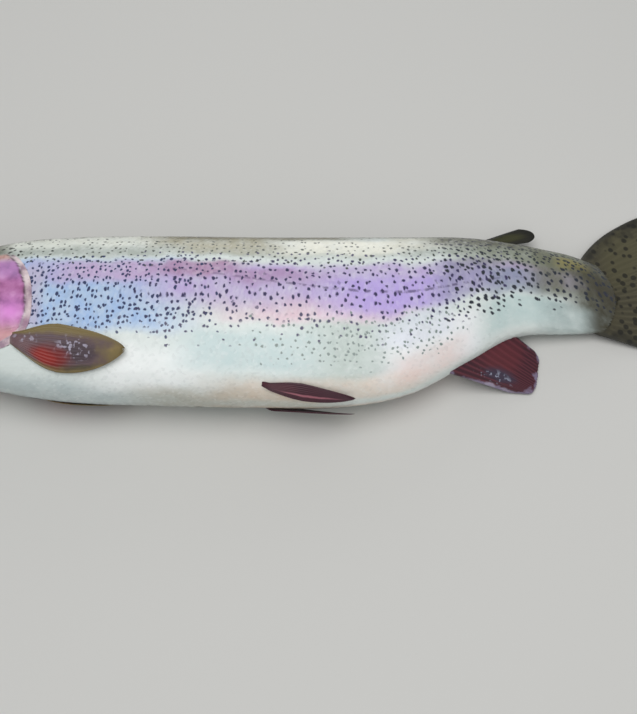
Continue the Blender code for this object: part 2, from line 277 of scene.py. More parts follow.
def skin_place(ring, column):
    """The distance behind the snout of a ring, which bends with the rear edge of the gill cover, and how
    much further apart the rings beside that edge are set where it slants."""
    edge = gill_edge(column)
    step = 0.002
    slope = (gill_edge(column + step) - gill_edge(column - step)) / (2 * step * HEAD_GIRTH * MM)
    slant = np.minimum(np.hypot(1, slope), 2.6)
    first, last = edge + EDGE_RINGS[0] * slant, edge + EDGE_RINGS[-1] * slant
    on_head = SNOUT + (first - SNOUT) * ahead[np.minimum(ring, len(ahead) - 1)]
    past = ring - len(ahead)
    beside = edge + EDGE_RINGS[np.clip(past, 0, len(EDGE_RINGS) - 1)] * slant
    on_trunk = last + (flesh_end(column) - last) * behind[np.clip(past - len(EDGE_RINGS), 0, len(behind) - 1)]
    return np.where(past < 0, on_head, np.where(past < len(EDGE_RINGS), beside, on_trunk)), slant


def skin_turn(place, column):
    """The turn of a column, which is drawn on to the slit of the mouth as far back as the mouth reaches."""
    size = np.abs(column)
    pull = turn_at(place, mouth_slit(np.minimum(place, MOUTH_END))) - MOUTH_COLUMN
    pull = pull * (1 - rise(place, MOUTH_END, MOUTH_END + BEHIND_MOUTH))
    near = np.where(size < MOUTH_COLUMN, size / MOUTH_COLUMN, (0.5 - size) / (0.5 - MOUTH_COLUMN))
    return column + np.sign(column) * pull * near


# The rules below give the skin's height in millimetres and how much of a colour it takes. In them t is the
# turn from the back (0) to the keel (0.5), and mm the distance behind the snout. The other distances, in
# millimetres as well, are those from the hinge and the rear edge of the gill cover, the mouth and the eye.


def gill_relief(t, mm, hinge, past_edge):
    """The gill cover's plates, their hinge and seam, and the soft flap behind them, with their colours and
    painted shade in the gap behind the gill cover.
    """
    on_side = rise(t, 0.150, 0.168)
    cover = rise(hinge, 1.0, 12.0) * (1 - rise(past_edge, -0.05, 0.1)) * on_side
    ripple = 0.06 * np.sin(t * 150) + 0.025 * np.sin(t * 410)
    flap_width = GILL_MEMBRANE * (0.62 + 0.38 * rise(t, 0.17, 0.24) + ripple)
    flap = rise(past_edge, -flap_width - 0.3, -flap_width + 0.5)
    gap = between(past_edge, -0.02, 0.2, 0.7, 1.7) * on_side
    relief = (1.0 - 0.45 * flap) * cover - 1.2 * gap

    beside_hinge = between(t, 0.150, 0.168, 0.42, 0.46)
    behind_eye = between(t, 0.2, 0.25, 0.37, 0.41)
    for height, away, width, where in (
        (-0.65, 0.0, 0.9, beside_hinge),
        (0.45, -4.0, 2.4, beside_hinge),
        (-0.35, -9.0, 1.2, behind_eye),
    ):
        relief += height * bell(hinge, away, width) * where

    seam = 0.356 - 0.034 * (mm - 66) / 34
    relief -= 0.45 * bell((t - seam) * HEAD_GIRTH, 0, 0.7) * cover
    striae = np.sin(np.arctan2(t * HEAD_GIRTH - 42, mm - 66) * 61 + 2 * np.sin(mm * 0.4))
    relief += 0.02 * striae * cover

    plates = cover * (1 - flap)
    warm = bell(t, 0.172, 0.011) + bell(t, 0.336, 0.022)
    line = 0.62 + 0.38 * np.sin(t * 560 + 2 * np.sin(t * 190))
    colours = {
        "gill_cover": 0.95 * plates * between(t, 0.170, 0.198, 0.34, 0.385),
        "gill_lilac": 0.6 * plates * between(t, 0.170, 0.198, 0.215, 0.24),
        "gill_dusk": 0.5 * plates * bell(t, 0.245, 0.014) * rise(past_edge, -26, -14),
        "gill_warm": 0.75 * plates * warm * rise(past_edge, -30, -14),
        "gill_bright": 0.85 * cover * bell(t, 0.288, 0.018) * bell(past_edge, -12, 7),
        "gill_rim": cover * flap * rise(t, 0.16, 0.18) * (1 - 0.5 * rise(t, 0.38, 0.42)),
        "gill_low": 0.85 * cover * bell(t, 0.308, 0.016) * rise(past_edge, -5, -1.5),
        "gill_line": cover * line * bell(past_edge, -flap_width - 0.1, 0.85) * (1 - rise(t, 0.26, 0.34)),
        # painted shade in the gap behind the gill cover
        "groove": gap * blend(0.8, 0.5, rise(t, 0.38, 0.42)),
    }
    return relief, colours


def eye_relief(t, hinge, from_eye, round_eye):
    """The eye's socket and rim, the bones' edges round it and the sutures that part them."""
    relief = 0.4 * bell(from_eye, 8.9, 1.1) - 3.4 * (1 - rise(from_eye, 7.0, 8.0))
    relief -= 0.3 * bell(from_eye, 12.0, 0.9) * rise(t, 0.19, 0.23)
    relief += 0.5 * bell(from_eye, 11.0, 2.2) * (1 - rise(t, 0.13, 0.17))
    sutures = bell(np.sin(2.5 * round_eye + 0.4), 0, 0.07) * between(from_eye, 12.5, 14.0, 19, 27)
    return relief - 0.3 * sutures * rise(t, 0.20, 0.25) * (1 - rise(hinge, -14, -9))


def mouth_relief(t, mm, above_slit, bone, from_column):
    """The long bone of the upper lip, both lips and the shut slit, with where the slit lies, for its painted
    shade, and how much of the lips' colour.
    """
    on_bone = between(mm, 8.0, 12.0, 46.4, 47.4)
    plate = between(above_slit, -0.1, 0.35, bone - 0.5, bone + 0.3) * on_bone
    on_lips = (t > 0.2) * (1 - rise(mm, 46.5, 48.5))
    at_tip = (1 - rise(mm, 9.0, 15.0)) * on_lips
    slit = (1 - rise(from_column, 0.0006, 0.0042)) * on_lips
    relief = 0.75 * plate - 0.35 * bell(above_slit, bone + 0.7, 0.6) * on_bone - 1.5 * slit
    relief += 0.5 * bell(above_slit, 1.7, 1.0) * at_tip + 0.45 * bell(above_slit, -1.7, 1.1) * on_lips
    return relief, slit, 0.55 * plate + 0.5 * bell(above_slit, 1.7, 1.4) * at_tip


def throat_relief(t, mm, above_slit, past_edge):
    """The groove between the lower jaw's halves, the seam along each and the thin bones of the gill skin."""
    keel = bell((0.5 - t) * HEAD_GIRTH, 0, 1.6) * between(mm, 9, 16, 36, 42)
    jaw_seam = bell(above_slit, -7.5, 0.8) * between(mm, 12, 20, 44, 52) * (t > 0.3)
    bones = np.sin(past_edge * 1.9) * between(t, 0.405, 0.425, 0.482, 0.492)
    bones = bones * rise(mm, 28, 38) * (1 - rise(past_edge, -0.6, -0.1))
    return 0.22 * bones - 0.7 * keel - 0.3 * jaw_seam


def head_relief(place, turn, column, slant):
    """How far the skin of the head stands out from the body's form, by the bones and slits under it, and how
    much of each of its colours it takes, painted shade in its slits, nostrils and pores among them."""
    t, mm = folded(turn), place / MM
    flank = np.where(np.mod(turn, 1) < 0.5, 1, -1)
    here = on_body(place, turn)
    across = here[..., 1] / MM
    above_slit = across - mouth_slit(place) / MM
    past_edge = (place - gill_edge(turn)) / slant / MM
    hinge = mm - cheek_edge(turn) / MM
    eye = on_body(np.full_like(place, EYE_PLACE), EYE_TURN * flank)
    from_eye = np.linalg.norm(here - eye, axis=-1) / MM
    above_eye, behind_eye = across - eye[..., 1] / MM, mm - EYE_PLACE / MM

    relief, colours = gill_relief(t, mm, hinge, past_edge)
    relief += eye_relief(t, hinge, from_eye, np.arctan2(above_eye, behind_eye))
    from_column = np.abs(np.abs(column) - MOUTH_COLUMN)
    lips, slit, colours["lip"] = mouth_relief(t, mm, above_slit, maxilla_depth(place) / MM, from_column)
    relief += lips + throat_relief(t, mm, above_slit, past_edge)
    # The shut slit of the mouth is painted dark as shade in it, and so are the nostrils and pores below.
    groove_shades = [colours["groove"], 0.9 * slit**2]

    for nostril_place, nostril_turn, radius in NOSTRILS:
        centre = on_body(np.full_like(place, nostril_place), nostril_turn * flank)
        away = np.linalg.norm(here - centre, axis=-1)
        relief += 0.3 * bell(away, 2.1 * radius, 0.5 * radius) - 1.3 * bell(away, 0, radius)
        # the pit of the nostril painted dark as shade
        groove_shades.append(0.9 * bell(away, 0, 0.8 * radius))

    # Pores of the jaw, the gill cover's hinge and the cheek under the eye: along and across each line, where
    # the first pore is, how far apart they are and how many.
    for along_line, off_line, first, spacing, pores in (
        (mm, above_slit + 8.5, 9, 7, 5),
        ((t - 0.22) * HEAD_GIRTH, hinge + 4.5, 3, 7, 5),
        (12.5 * np.arctan2(above_eye, -behind_eye), from_eye - 15.5, -6, 9, 6),
    ):
        for k in range(pores):
            pore = bell(np.hypot(along_line - first - spacing * k, off_line), 0, PORE_RADIUS) * (t > 0.2)
            relief -= 0.25 * pore
            # each pore painted a little darker as shade in it
            groove_shades.append(0.28 * pore)
    colours["groove"] = np.maximum.reduce(groove_shades)
    return relief * MM, colours


def on_flesh(place, turn, out, clear):
    """Points on or near the fish, whose tail stalk thins to a wedge where the tail fin grows out of it."""
    shaped = on_body(place, turn, out, clear)
    tail = np.clip(1 - (flesh_end(turn) - place) / SKIN_END_ROUNDING, 0, 1)
    thin, narrow = SKIN_END_THINNING
    shaped[..., 2] = blend(backbone_height(place), shaped[..., 2], 1 - thin * tail**1.7)
    shaped[..., 1] = blend(middle(place), shaped[..., 1], 1 - narrow * tail**2)
    shaped[..., 2] = np.maximum(shaped[..., 2], clear)
    return shaped


def skin_form(ring, column_index):
    column = column_turns[column_index]
    place, slant = skin_place(ring, column)
    turn = skin_turn(place, column)
    relief, colours = head_relief(place, turn, column, slant)
    t = folded(turn)
    off_cover = (t < GILL_COVER_TURNS[0]) | (t > GILL_COVER_TURNS[1])
    sunk_by = np.where(off_cover, COAT_AT_NAPE_AND_BREAST, COAT_AT_GILL_COVER)
    sunk = -COAT_DEPTH * rise(place - scales_start(turn), -COAT_AHEAD, sunk_by)
    shaped = on_flesh(place, turn, relief + sunk, SKIN_CLEAR_OF_FLOOR)
    pole = ring == 0
    shaped[pole] = (SNOUT_TIP, MOUTH_TIP, float(backbone_height(0.0)))
    last = ring == ring_count - 1
    shaped[last] = (SKIN_END, float(middle(SKIN_END)), float(backbone_height(SKIN_END)))
    return shaped, place, turn, colours


def lay_out(form, uv_name, corner_uv):
    """Writes a map on the form, from the value held for each of its vertices before any are welded."""
    layer = form.loops.layers.uv.new(uv_name)
    for face in form.faces:
        for corner in face.loops:
            corner[layer].uv = corner_uv[corner.vert.index]


def finished(name, form, look):
    """The piece as an object at the origin, with its place in its mesh and its faces turned outwards."""
    bmesh.ops.recalc_face_normals(form, faces=form.faces)
    if form.calc_volume(signed=True) < 0:
        bmesh.ops.reverse_faces(form, faces=form.faces)
    mesh = bpy.data.meshes.new(name)
    form.to_mesh(mesh)
    form.free()
    mesh.shade_smooth()
    mesh.materials.append(look)
    made = bpy.data.objects.new(name, mesh)
    bpy.context.scene.collection.objects.link(made)
    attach(made, "root")
    return made


def linear(code):
    """An sRGB hex colour as the linear colour that a shader takes."""
    values = [int(code[k : k + 2], 16) / 255 for k in (1, 3, 5)]
    return tuple(v / 12.92 if v <= 0.04045 else ((v + 0.055) / 1.055) ** 2.4 for v in values) + (1.0,)


def add_node(tree, kind, inputs=(), stops=(), **settings):
    """Adds a node with its settings, its colour stops and a value for its inputs, by name or in their order.
    A value may be a number, a hex colour, a socket to link or a node, for the first of its outputs in use."""
    made = tree.nodes.new("ShaderNode" + kind)
    for name, value in settings.items():
        setattr(made, name, value)
    for k, (position, colour) in enumerate(stops):
        ramp = made.color_ramp.elements
        stop = ramp[k] if k < 2 else ramp.new(position)
        stop.position = position
        stop.color = linear(colour)
    in_use = [socket for socket in made.inputs if socket.enabled]
    for key, value in inputs.items() if isinstance(inputs, dict) else enumerate(inputs):
        socket = made.inputs[key] if isinstance(key, str) else in_use[key]
        if isinstance(value, bpy.types.Node):
            value = next(output for output in value.outputs if output.enabled)
        if isinstance(value, bpy.types.NodeSocket):
            tree.links.new(value, socket)
        else:
            socket.default_value = linear(value) if isinstance(value, str) else value
    return made


def new_material(name, numbers):
    """A material whose shader has its own numbers set, and what adds a node to its tree."""
    made = bpy.data.materials.new(name)
    made.use_nodes = True
    for socket, value in numbers.items():
        made.node_tree.nodes["Principled BSDF"].inputs[socket].default_value = value
    return made, partial(add_node, made.node_tree)


def paint(look, ground, layers):
    """Colours a material: each layer's colour is laid over what is there, as far as the layer's mask says."""
    tree = look.node_tree
    for mask, colour in layers:
        ground = add_node(tree, "Mix", (mask, ground, colour), data_type="RGBA").outputs["Result"]
    tree.links.new(ground, tree.nodes["Principled BSDF"].inputs["Base Color"])


# Wet trout skin: a clear slime coat over silvery guanine and pigment, so it has a soft metallic body and a
# sharp wet gloss on top. Each tint is a soft-edged field between two distances behind the snout and between
# two shares of the way from back (0) to belly (1), and bounds that lie beyond the fish leave a side open.
# The flank gets lilac and blue iridescence over pale silver.
BELLY_SILVER = "#e2eae6"
SKIN_TINTS = (
    # colour, from where to where behind the snout (m, with its fades), from back to belly, and its strength
    ("#8b907c", -0.20, -0.10, 0.600, 0.70, -0.2, -0.1, 0.12, 0.22, 0.97),  # grey-olive under all of the back
    ("#7d826c", -0.20, -0.10, 0.084, 0.10, -0.2, -0.1, 0.25, 0.42, 0.92),  # and under the top of the head
    ("#a8b9bc", 0.030, 0.060, 0.190, 0.27, 0.82, 0.92, 1.10, 1.20, 0.55),  # painted shade under the breast, in a cool bluish grey
    ("#fafdfb", 0.130, 0.160, 0.190, 0.23, 0.64, 0.74, 0.86, 0.98, 0.95),  # painted highlight of overhead light on the silver behind the breast
    ("#fafbfd", 0.295, 0.315, 0.360, 0.38, 0.59, 0.66, 0.84, 0.98, 0.95),  # and another painted highlight before the anal fin
    ("#b3a88f", 0.150, 0.190, 0.265, 0.30, 0.85, 0.93, 1.10, 1.20, 0.55),  # painted shadow along the keel, in a dull buff
    ("#c0cdc6", 0.250, 0.290, 0.303, 0.325, 0.56, 0.61, 0.78, 0.88, 0.95),  # grey-green of the lower flank
    ("#c2d9d9", 0.180, 0.215, 0.255, 0.29, 0.60, 0.66, 0.75, 0.82, 0.80),  # sea-green silver before it
    ("#f0d2b8", 0.190, 0.250, 0.300, 0.36, 0.79, 0.86, 0.94, 1.00, 0.55),  # peach glow along the lower belly
    ("#efc8ba", 0.310, 0.330, 0.350, 0.37, 0.70, 0.78, 0.88, 0.98, 0.45),  # and before the vent
    ("#ecccd8", 0.190, 0.250, 0.310, 0.35, 0.49, 0.525, 0.57, 0.61, 0.90),  # pink fading under the band
    ("#a9c7f0", 0.085, 0.100, 0.165, 0.22, 0.34, 0.40, 0.60, 0.66, 0.95),  # sky blue of the shoulder
    ("#c3b6e0", 0.098, 0.110, 0.170, 0.21, 0.36, 0.40, 0.45, 0.50, 0.75),  # lilac wash over its top
    ("#c6b0e0", 0.150, 0.200, 0.430, 0.46, 0.37, 0.41, 0.49, 0.57, 0.95),  # lilac band of the flank
    ("#d0b2d4", 0.110, 0.140, 0.170, 0.19, 0.36, 0.390, 0.440, 0.480, 0.70),  # pink start of its top edge
    ("#b486a8", 0.165, 0.195, 0.215, 0.24, 0.370, 0.395, 0.420, 0.460, 0.90),  # rose top edge of the band
    ("#b491b8", 0.215, 0.235, 0.255, 0.29, 0.400, 0.425, 0.445, 0.490, 0.75),  # dropping to the rear
    ("#c2adee", 0.260, 0.300, 0.345, 0.365, 0.42, 0.47, 0.535, 0.60, 0.90),  # vivid violet over the vent
    ("#e2e8f6", 0.300, 0.320, 0.345, 0.36, 0.555, 0.60, 0.68, 0.72, 0.55),  # bluish white under it
    ("#a8b0a6", 0.070, 0.100, 0.500, 0.60, 0.25, 0.30, 0.33, 0.37, 0.80),  # green-grey of the upper flank
    ("#eff2e6", 0.040, 0.070, 0.165, 0.195, 0.10, 0.15, 0.26, 0.32, 0.95),  # painted sheen beside the back, a cream painted reflection of light from behind
    ("#f4f3e4", 0.240, 0.264, 0.315, 0.335, 0.19, 0.24, 0.31, 0.36, 0.95),  # and the painted sheen again before the tail
    ("#dad9c8", 0.310, 0.325, 0.345, 0.365, 0.14, 0.19, 0.27, 0.33, 0.80),  # the painted sheen fading there
    ("#a39c7c", 0.160, 0.190, 0.235, 0.262, 0.12, 0.18, 0.26, 0.33, 0.90),  # olive cloud between the two
    ("#6f6741", 0.165, 0.195, 0.275, 0.310, 0.04, 0.10, 0.19, 0.235, 0.95),  # darker towards the back
    ("#b5af93", 0.180, 0.200, 0.240, 0.262, 0.24, 0.28, 0.32, 0.36, 0.55),  # and its fading foot
    ("#a19ec0", 0.335, 0.355, 0.375, 0.395, 0.36, 0.41, 0.52, 0.58, 0.85),  # grey lilac before the tail
    ("#8d97ae", 0.370, 0.385, 0.405, 0.425, 0.42, 0.46, 0.56, 0.62, 0.85),  # grey-blue of the tail's stalk
    ("#7f8470", 0.345, 0.375, 0.500, 0.60, 0.05, 0.15, 0.36, 0.48, 0.90),  # grey-olive over it
    ("#54553f", 0.330, 0.352, 0.395, 0.415, -0.2, -0.1, 0.24, 0.32, 0.92),  # dark olive back, deepened by painted shade under the adipose fin
    ("#bdd3d1", 0.365, 0.385, 0.410, 0.43, 0.58, 0.63, 0.78, 0.90, 0.80),  # pale green under it
    ("#6e705b", 0.395, 0.415, 0.600, 0.70, 0.02, 0.10, 0.53, 0.66, 0.92),  # olive of the tail's root, carried low on the stalk as painted shade
    ("#93894e", 0.418, 0.428, 0.440, 0.450, 0.22, 0.28, 0.36, 0.42, 0.80),  # brassy patch on it, brightened as a painted highlight
    ("#98aaa8", 0.400, 0.420, 0.455, 0.47, 0.60, 0.67, 0.90, 1.10, 0.75),  # grey-green under it
    ("#46442f", 0.422, 0.438, 0.600, 0.70, 0.30, 0.40, 0.62, 0.74, 0.95),  # dark root of the tail fin
    ("#8b9490", 0.430, 0.444, 0.600, 0.70, 0.66, 0.74, 1.10, 1.20, 0.80),  # and its paler lower side
    ("#423e2e", 0.434, 0.450, 0.600, 0.70, -0.2, -0.1, 1.10, 1.20, 0.98),  # dark foot of the tail fin
    ("#42442f", 0.030, 0.080, 0.600, 0.70, -0.2, -0.1, 0.10, 0.18, 0.97),  # dark olive ridge of the back
    ("#c983ae", 0.020, 0.045, 0.075, 0.090, 0.38, 0.48, 0.56, 0.70, 0.80),  # rosy cheek
    ("#b9a8ae", -0.20, -0.10, 0.030, 0.050, 0.40, 0.48, 0.60, 0.72, 0.70),  # dusky silver of the snout
    ("#c3b6b4", -0.20, -0.10, 0.050, 0.075, 0.62, 0.70, 0.84, 0.96, 0.75),  # dusky rose of the lower jaw
    ("#8f9186", -0.20, -0.10, 0.012, 0.030, 0.55, 0.65, 1.10, 1.20, 0.70),  # dark chin
    ("#4b4f38", -0.20, -0.10, 0.084, 0.094, -0.2, -0.1, 0.29, 0.45, 0.97),  # olive top of the head
    ("#c9bdd2", 0.100, 0.105, 0.111, 0.118, 0.40, 0.44, 0.60, 0.66, 0.75),  # lavender skin behind the gills
)
# Spacing, smallest and biggest radius of the spots of each field in millimetres, how much longer than deep
# they are, the share of places that hold one and their colour, then where the field reaches, as above.
SPOT_FIELDS = (
    (3.7, 0.48, 0.82, 1.00, 1.00, "#82918c", (0.220, 0.280, 0.345, 0.370, 0.55, 0.60, 0.72, 0.80)),
    (3.1, 0.50, 0.90, 1.00, 1.00, "#323c64", (0.100, 0.108, 0.165, 0.230, 0.33, 0.38, 0.60, 0.67)),
    (3.9, 0.50, 0.90, 1.10, 1.00, "#38325a", (0.150, 0.200, 0.370, 0.400, 0.30, 0.37, 0.54, 0.70)),
    (3.8, 0.45, 0.85, 1.00, 0.75, "#3a423a", (0.050, 0.100, 0.600, 0.700, 0.16, 0.27, 0.32, 0.42)),
    (2.9, 0.45, 0.90, 1.00, 0.80, "#191a12", (0.050, 0.100, 0.600, 0.700, -0.2, -0.1, 0.12, 0.20)),
    (3.4, 0.58, 1.02, 1.35, 1.00, "#262b36", (0.335, 0.370, 0.600, 0.700, 0.05, 0.20, 0.58, 0.72)),
    (4.6, 0.55, 1.10, 1.00, 1.00, "#191b16", (-0.20, -0.10, 0.095, 0.105, -0.2, -0.1, 0.30, 0.60)),
)
SPOT_RIM_GRAIN = 2.381 * MM
SPOT_RAGGEDNESS = 1.5 * MM
SPOT_DISORDER = 0.82
TINT_WANDER = 22.22 * MM
TINT_CLOUDS = 13.333 * MM
LATERAL_LINE = (0.375, 0.50)
LATERAL_PORE_SPACING = 4.5 * MM
SCALE_GLINT = 1.7 * MM
HEAD_MOTTLE = 7.692 * MM


def field_mask(node, along, down, bounds, strength, fading):
    """How much a field holds: its strength inside its bounds, which fades out past each of its four sides."""
    mask = None
    for value, (start, full, fade, end) in ((along, bounds[:4]), (down, bounds[4:])):
        for side in ((start, full, 0.0, 1.0), (fade, end, 1.0, 0.0)):
            share = node("MapRange", (value, *side), interpolation_type=fading)
            mask = share if mask is None else node("Math", (mask, share), operation="MULTIPLY")
    return node("Math", (mask, strength), operation="MULTIPLY")


def skin_markings(node):
    """The layers of colour on skin and scales, from their girth map, in metres, and their zones map."""
    metres = node("UVMap", uv_map="girth")
    zones = node("SeparateXYZ", (node("UVMap", uv_map="zones"),))
    along, down = zones.outputs[0], zones.outputs[1]
    drift, clouds, shake, beads = (
        node(
            "TexNoise", {"Vector": metres, "Scale": 1 / grain, "Detail": detail, "Roughness": roughness},
            noise_dimensions="2D",
        )
        for grain, detail, roughness in (
            (TINT_WANDER, 4.0, 0.5),
            (TINT_CLOUDS, 5.0, 0.6),
            (SPOT_RIM_GRAIN, 2.0, 0.5),
            (LATERAL_PORE_SPACING, 2.0, 0.5),
        )
    )
    drift = node("MapRange", (drift, 0.0, 1.0, -0.03, 0.03))
    drifted = node("Math", (down, drift), operation="ADD")
    clouds = node("MapRange", (clouds, 0.3, 0.62, 0.66, 1.0))
    layers = []
    for colour, *bounds, strength in SKIN_TINTS:
        mask = field_mask(node, along, drifted, bounds, strength, "SMOOTHSTEP")
        layers.append((node("Math", (mask, clouds), operation="MULTIPLY"), colour))

    # Painted glints: single scales are painted lighter as a painted highlight where they would catch the
    # light, and darker as painted shade where they miss it, from the gill cover to the tail's stalk.
    cells = node("TexVoronoi", {"Vector": metres, "Scale": 1 / SCALE_GLINT}, voronoi_dimensions="2D")
    drawn = node("SeparateXYZ", (cells.outputs["Color"],))
    from_gills = node("MapRange", (along, 0.10, 0.112))
    to_stalk = node("MapRange", (along, 0.405, 0.375))
    scaled = node("Math", (from_gills, to_stalk), operation="MULTIPLY")
    for channel, rarity, most, tone in ((0, 0.70, 0.15, "#ffffff"), (1, 0.72, 0.09, "#5a5f66")):
        glint = node("MapRange", (drawn.outputs[channel], rarity, 1.0, 0.0, most))
        layers.append((node("Math", (glint, scaled), operation="MULTIPLY"), tone))

    # Each spot is a cell's middle, of a size and a right to be there that its cell draws.
    shake = node("VectorMath", (shake.outputs["Color"], (0.5, 0.5, 0.5)), operation="SUBTRACT")
    shake = node("VectorMath", (shake, SPOT_RAGGEDNESS), operation="SCALE")
    shaken = node("VectorMath", (metres, shake), operation="ADD")
    for spacing, smallest, biggest, stretch, share, black, field in SPOT_FIELDS:
        laid = node("VectorMath", (shaken, (1 / stretch, 1, 1)), operation="MULTIPLY")
        cells = node(
            "TexVoronoi", {"Vector": laid, "Scale": 1 / (spacing * MM), "Randomness": SPOT_DISORDER},
            voronoi_dimensions="2D",
        )
        drawn = node("SeparateXYZ", (cells.outputs["Color"],))
        size = node("MapRange", (drawn, 0.0, 1.0, smallest / spacing, biggest / spacing))
        past_rim = node("Math", (cells, size), operation="SUBTRACT")
        spot = node("MapRange", (past_rim, -0.06, 0.07, 1.0, 0.0))
        crowd = field_mask(node, along, drifted, field, share, "LINEAR")
        there = node("Math", (crowd, drawn.outputs[1]), operation="SUBTRACT")
        there = node("MapRange", (there, 0.0, 0.09))
        layers.append((node("Math", (spot, there), operation="MULTIPLY"), black))

    # The side line is a broken dark thread that sinks from the shoulder to the middle of the flank.
    course = node("MapRange", (along, 0.10, 0.34, *LATERAL_LINE), interpolation_type="SMOOTHSTEP")
    off_line = node("Math", (down, course), operation="SUBTRACT")
    off_line = node("Math", (off_line,), operation="ABSOLUTE")
    thread = node("MapRange", (off_line, 0.002, 0.006, 1.0, 0.0))
    for fade in ((beads, 0.43, 0.58), (along, 0.11, 0.30, 0.0, 0.7), (along, 0.36, 0.40, 1.0, 0.25)):
        share = node("MapRange", fade)
        thread = node("Math", (thread, share), operation="MULTIPLY")
    layers.append((thread, "#463a5e"))

    # The bare bones of the head take a mottled pink, and the membrane behind them a duller one.
    body = node("TexCoord").outputs["Object"]
    mottle = node("TexNoise", {"Vector": body, "Scale": 1 / HEAD_MOTTLE, "Detail": 5.0})
    pinks = ((0.34, "#93508a"), (0.46, "#bd72ae"), (0.56, "#cf86c2"), (0.70, "#e9aadd"))
    membrane = ((0.36, "#a5899a"), (0.47, "#cdb6bd"), (0.60, "#ead9da"))
    for field, colour in (
        ("gill_cover", node("ValToRGB", (mottle,), pinks)),
        ("gill_lilac", "#bb8cc6"),
        ("gill_dusk", "#a75a8a"),
        ("gill_bright", "#ee95e6"),
        ("gill_warm", "#dfa9a0"),
        ("gill_rim", node("ValToRGB", (mottle,), membrane)),
        ("gill_low", "#8b5579"),
        ("gill_line", "#4a2c38"),
        # the grooves' colour is painted shade in the gill slit, the mouth's slit, the nostrils and the pores
        ("groove", "#5a3a4d"),
        ("lip", "#a1998a"),
    ):
        layers.append((node("Attribute", attribute_name=field).outputs["Fac"], colour))
    return layers


skin_look, skin_node = new_material(
    "wet_trout_skin", {"Roughness": 0.34, "Coat Weight": 0.5, "Coat Roughness": 0.12, "IOR": 1.45},
)
paint(skin_look, BELLY_SILVER, skin_markings(skin_node))

form = bmesh.new()
ring_steps, column_steps = ring_count - 1, len(column_turns) - 1
bmesh.ops.create_grid(form, x_segments=ring_steps, y_segments=column_steps, size=0.5)
form.verts.index_update()
steps = np.array([vert.co[:2] for vert in form.verts]) + 0.5
ring, column_index = np.rint(steps * (ring_steps, column_steps)).astype(int).T
shaped, place, turn, colours = skin_form(ring, column_index)
lay_out(form, "OFBake", np.stack([ring / ring_steps, column_index / column_steps], axis=-1))
lay_out(form, "zones", np.stack([place, 2 * folded(turn)], axis=-1))
lay_out(form, "girth", np.stack([place, turn * girth(place)], axis=-1))
for name, values in colours.items():
    layer = form.verts.layers.float.new(name)
    for vert, value in zip(form.verts, values):
        vert[layer] = value
for vert, point in zip(form.verts, shaped + fish_shift):
    vert.co = point
bmesh.ops.remove_doubles(form, verts=form.verts, dist=1e-7)
skin = finished("skin", form, skin_look)
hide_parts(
    "head", "lower_jaw", "maxilla_left", "maxilla_right", "gill_cover_left", "gill_cover_right",
    "trunk", "tail_stalk",
)

# ---- Scales -----------------------------------------------------------------------------------------------
# Nearly seventeen thousand thin horny scales lie over the skin like roof tiles, each rooted at its front and
# free at its round rear edge. A pair is arrayed into a flat sheet, then the sheet is wrapped round the body.

SCALE_LENGTHS = 140
SCALE_LINES = 60
SCALE_PIECES = 4
SCALE_HALF_LENGTH = 0.86
SCALE_HALF_WIDTH = 0.52
SCALE_THICKNESS = 0.09 * MM
SCALE_BEVEL = 0.82
SCALE_TILT = 0.36 * MM
SCALE_ROLL = 0.05 * MM
SCALE_DOME = 0.015 * MM
SCALES_SHORT_OF_END = 3 * MM
SCALE_PATCH = 0.003
SCALE_TILT_SPREAD = 0.14
SCALE_LENGTH_SPREAD = 0.04
SCALE_CLEAR_OF_FLOOR = 0.05 * MM
SCALE_AXES = ("scale_x", "scale_y")


def scale_place(lengths, turn):
    """Scales get shorter towards the tail."""
    share = lengths / SCALE_LENGTHS
    return blend(scales_start(turn), flesh_end(turn) - SCALES_SHORT_OF_END, 1.2 * share - 0.2 * share**2)


def scale_pair():
    """Two neighbouring scales of the flat sheet, one unit long and wide, each with a domed top."""
    form = bmesh.new()
    layers = [form.verts.layers.float.new(name) for name in SCALE_AXES]
    for x, y in ((0.0, 0.0), (0.5, 0.5)):
        made = bmesh.ops.create_circle(form, cap_ends=True, radius=1, segments=8)
        rim = made["verts"]
        under = {face for vert in rim for face in vert.link_faces}
        pulled = bmesh.ops.extrude_face_region(form, geom=list(under), use_keep_orig=True)
        top = [part for part in pulled["geom"] if isinstance(part, bmesh.types.BMVert)]
        cap = [part for part in pulled["geom"] if isinstance(part, bmesh.types.BMFace)]
        bmesh.ops.scale(form, vec=(SCALE_BEVEL, SCALE_BEVEL, 1), verts=rim)
        bmesh.ops.translate(form, vec=(0, 0, 1), verts=top)
        for edge in {edge for face in cap for edge in face.edges}:
            edge.smooth = False
        crown = bmesh.ops.poke(form, faces=cap)["verts"]
        bmesh.ops.translate(form, vec=(0, 0, SCALE_DOME / SCALE_THICKNESS), verts=crown)
        whole = rim + top + crown
        bmesh.ops.scale(form, vec=(SCALE_HALF_LENGTH, SCALE_HALF_WIDTH, 1), verts=whole)
        for axis, layer in enumerate(layers):
            for vert in whole:
                vert[layer] = vert.co[axis]
        bmesh.ops.translate(form, vec=(x, y, 0), verts=whole)
    bmesh.ops.recalc_face_normals(form, faces=form.faces)
    mesh = bpy.data.meshes.new("scale_pair")
    form.to_mesh(mesh)
    form.free()
    return mesh


